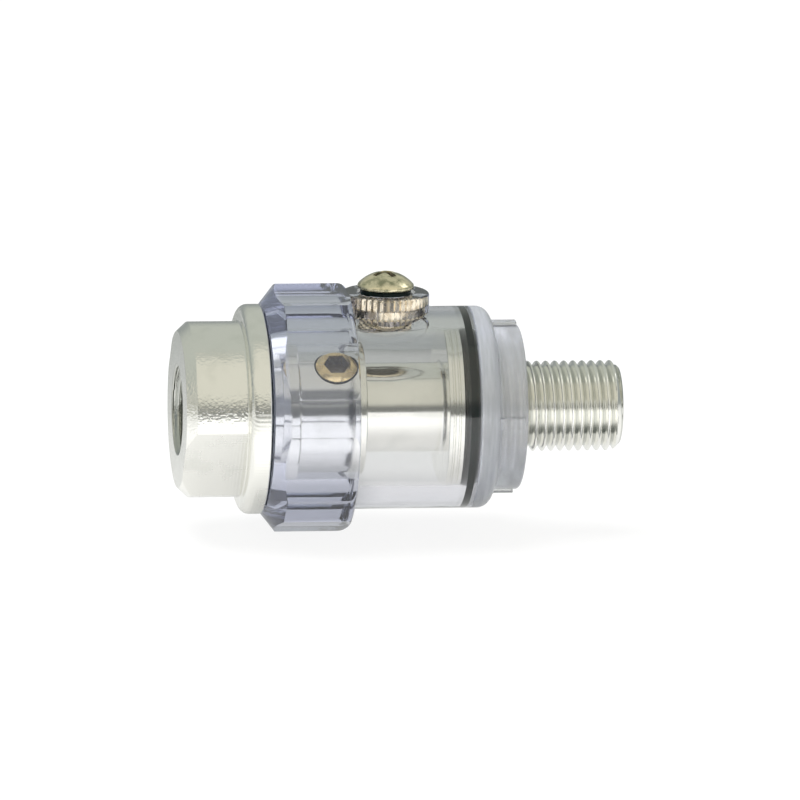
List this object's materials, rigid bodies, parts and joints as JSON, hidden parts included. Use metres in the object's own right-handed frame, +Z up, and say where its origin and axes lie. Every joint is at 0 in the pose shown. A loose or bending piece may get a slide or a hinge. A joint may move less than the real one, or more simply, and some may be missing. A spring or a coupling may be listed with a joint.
{
  "type": "in-line air oiler",
  "caption": "In-line oiler for an air hose: plated core with a tapped wrench end and a male outlet thread, clear screw-on oil bowl, filler screw and metering screw.",
  "frame": {"origin": "centre of the inlet face, on the air axis", "axes": "+X along the air flow from the inlet port to the outlet thread, +Z up through the filler screw"},
  "size_m": [0.0647, 0.036, 0.0383],
  "materials": {
    "plated_metal": "bright nickel plate",
    "black_rubber": "satin",
    "clear_plastic": "clear, polished, slight blue-violet tint",
    "knurled_brass": "straight knurl",
    "bronzed_screw": "bronzed, slightly stained",
    "golden_brass": "turned"
  },
  "bodies": {
    "core": {"core_body": "plated_metal", "end_seal": "black_rubber"},
    "collar_ring": {"collar_seal": "black_rubber"},
    "bowl": {"bowl": "clear_plastic", "filler_insert": "knurled_brass"},
    "filler_ring": {"filler_seal": "black_rubber"},
    "filler_screw": {"filler_screw": "bronzed_screw"},
    "metering_ring": {"metering_seal": "black_rubber"},
    "metering_screw": {"metering_screw": "golden_brass"}
  },
  "joints": [
    {"name": "bowl_travel", "type": "slide", "parent": "core", "child": "collar_ring", "axis": [1, 0, 0], "range_m": [0, 0.0215]},
    {"name": "bowl_turn", "type": "hinge", "parent": "collar_ring", "child": "bowl", "pos_m": [0, 0, 0], "axis": [1, 0, 0], "range_deg": [0, 5760]},
    {"name": "filler_travel", "type": "slide", "parent": "bowl", "child": "filler_ring", "axis": [0, 0, 1], "range_m": [0, 0.005]},
    {"name": "filler_turn", "type": "hinge", "parent": "filler_ring", "child": "filler_screw", "pos_m": [0.0302, 0, 0.0178], "axis": [0, 0, 1], "range_deg": [0, 2252]},
    {"name": "metering_travel", "type": "slide", "parent": "core", "child": "metering_ring", "axis": [0, -0.6947, 0.7193], "range_m": [-0.00035, 0.00035]},
    {"name": "metering_turn", "type": "hinge", "parent": "metering_ring", "child": "metering_screw", "pos_m": [0.022, 0, 0], "axis": [0, -0.6947, 0.7193], "range_deg": [-180.5, 180.5]}
  ],
  "couplings": [
    {"joint": "bowl_travel", "follows": "bowl_turn", "m_per_rad": 0.00021279},
    {"joint": "filler_turn", "follows": "filler_travel", "rad_per_m": 7854},
    {"joint": "metering_turn", "follows": "metering_travel", "rad_per_m": 8976}
  ]
}
